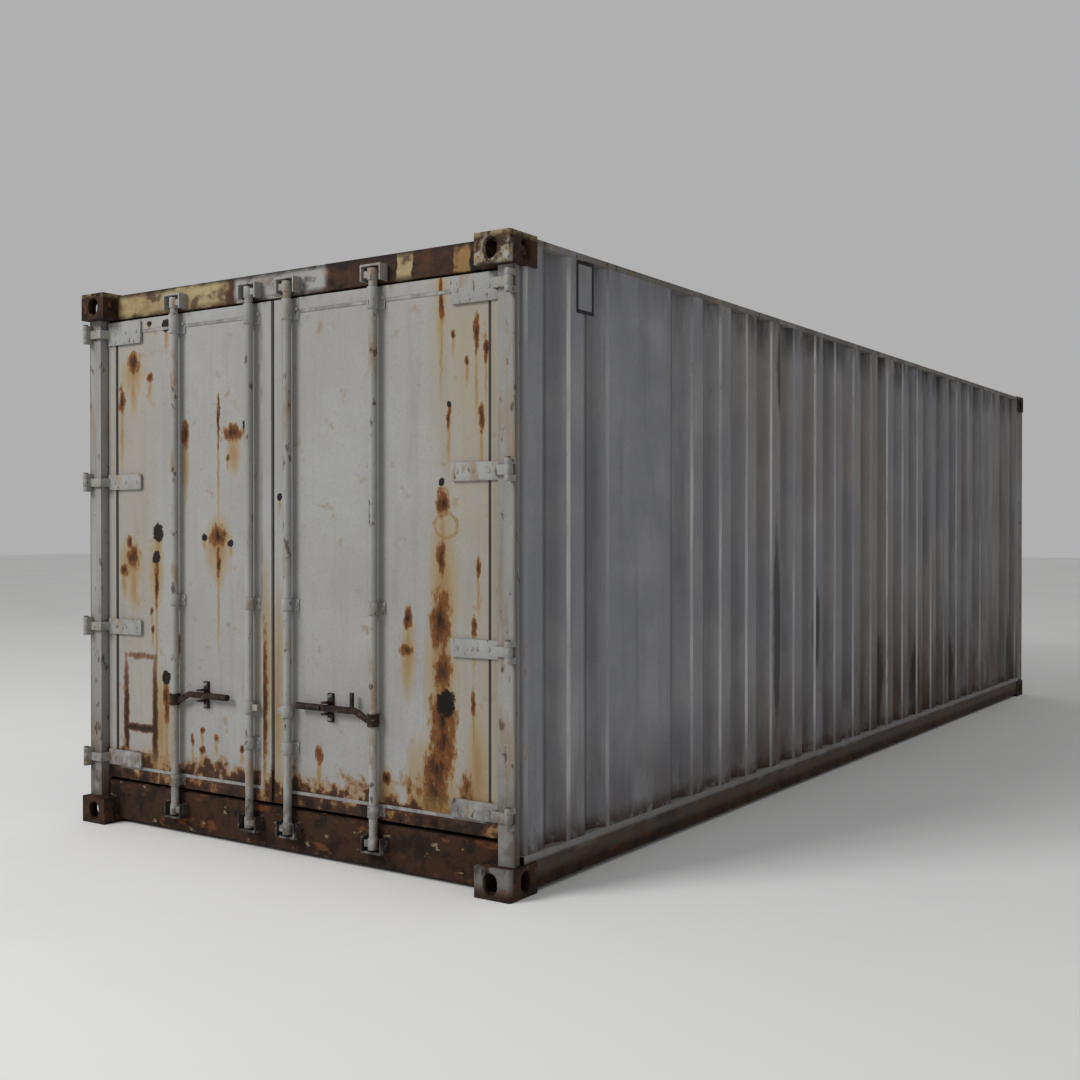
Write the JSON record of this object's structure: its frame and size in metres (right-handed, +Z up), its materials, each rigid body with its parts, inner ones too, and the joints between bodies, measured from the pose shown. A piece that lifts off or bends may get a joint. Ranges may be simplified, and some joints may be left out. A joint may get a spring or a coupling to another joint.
{
  "type": "shipping container",
  "caption": "Corrugated steel cargo box with hollow corner castings and two hinged panel doors, each held shut by turning locking bars with handles.",
  "frame": {"origin": "middle of the footprint, level with the feet of the corner castings", "axes": "+X along the box from the door end to the blind front end, +Y to the left-hand door leaf as seen by someone facing the doors, +Z up"},
  "size_m": [7.315, 2.438, 2.438],
  "materials": {
    "white_paint": "worn greyish white paint on steel, with rust at the edges",
    "rusty_paint": "paint mostly gone to dark brown rust",
    "cast_steel": "painted cast steel, worn to rust",
    "dark_primer": "dark underbody paint, rusting",
    "bar_paint": "worn white paint on galvanised steel",
    "steel": "bare turned steel, lightly rusted",
    "steel_faced_ply": "plywood core with steel faces, painted white, rust spots",
    "plywood": "worn brown floor plywood",
    "gasket_rubber": "black door rubber"
  },
  "bodies": {
    "box": {"door_bottom_castings": "cast_steel", "door_top_castings": "cast_steel", "front_bottom_castings": "cast_steel", "front_top_castings": "cast_steel", "door_header": "rusty_paint", "door_sill": "rusty_paint", "front_top_rail": "white_paint", "front_bottom_rail": "rusty_paint", "front_wall": "white_paint", "roof_sheet": "white_paint", "roof_end_plates": "white_paint", "floor_sheets": "plywood", "cross_members": "dark_primer", "hinge_lugs": "white_paint", "hinge_pins": "steel", "bar_keepers": "white_paint", "right_door_post": "white_paint", "right_front_post": "white_paint", "right_bottom_rail": "rusty_paint", "right_top_rail": "white_paint", "right_side_wall": "white_paint", "left_door_post": "white_paint", "left_front_post": "white_paint", "left_bottom_rail": "rusty_paint", "left_top_rail": "white_paint", "left_side_wall": "white_paint"},
    "right_leaf": {"right_leaf_channel": "white_paint", "right_leaf_panel": "steel_faced_ply", "right_leaf_gasket": "gasket_rubber", "right_hinge_blades": "white_paint", "right_bar_guides": "white_paint", "right_handle_catch": "white_paint"},
    "right_outer_bar": {"right_outer_bar": "bar_paint", "right_handle": "bar_paint"},
    "right_inner_bar": {"right_inner_bar": "bar_paint", "right_handle_stub": "bar_paint"},
    "left_leaf": {"left_leaf_channel": "white_paint", "left_leaf_panel": "steel_faced_ply", "left_leaf_gasket": "gasket_rubber", "left_hinge_blades": "white_paint", "left_bar_guides": "white_paint", "left_handle_catch": "white_paint"},
    "left_outer_bar": {"left_outer_bar": "bar_paint", "left_handle": "bar_paint"},
    "left_inner_bar": {"left_inner_bar": "bar_paint", "left_handle_stub": "bar_paint"}
  },
  "joints": [
    {"name": "right_leaf_swing", "type": "hinge", "parent": "box", "child": "right_leaf", "pos_m": [-3.6435, -1.201, 1.2], "axis": [0, 0, 1], "range_deg": [0, 270]},
    {"name": "left_leaf_swing", "type": "hinge", "parent": "box", "child": "left_leaf", "pos_m": [-3.6435, 1.201, 1.2], "axis": [0, 0, -1], "range_deg": [0, 270]},
    {"name": "right_outer_bar_turn", "type": "hinge", "parent": "right_leaf", "child": "right_outer_bar", "pos_m": [-3.6015, -0.52, 1.2], "axis": [0, 0, -1], "range_deg": [-100, 0]},
    {"name": "right_inner_bar_turn", "type": "hinge", "parent": "right_leaf", "child": "right_inner_bar", "pos_m": [-3.6015, -0.052, 1.2], "axis": [0, 0, -1], "range_deg": [-100, 0]},
    {"name": "left_outer_bar_turn", "type": "hinge", "parent": "left_leaf", "child": "left_outer_bar", "pos_m": [-3.6015, 0.64, 1.2], "axis": [0, 0, 1], "range_deg": [-100, 0]},
    {"name": "left_inner_bar_turn", "type": "hinge", "parent": "left_leaf", "child": "left_inner_bar", "pos_m": [-3.6015, 0.172, 1.2], "axis": [0, 0, 1], "range_deg": [-100, 0]}
  ]
}
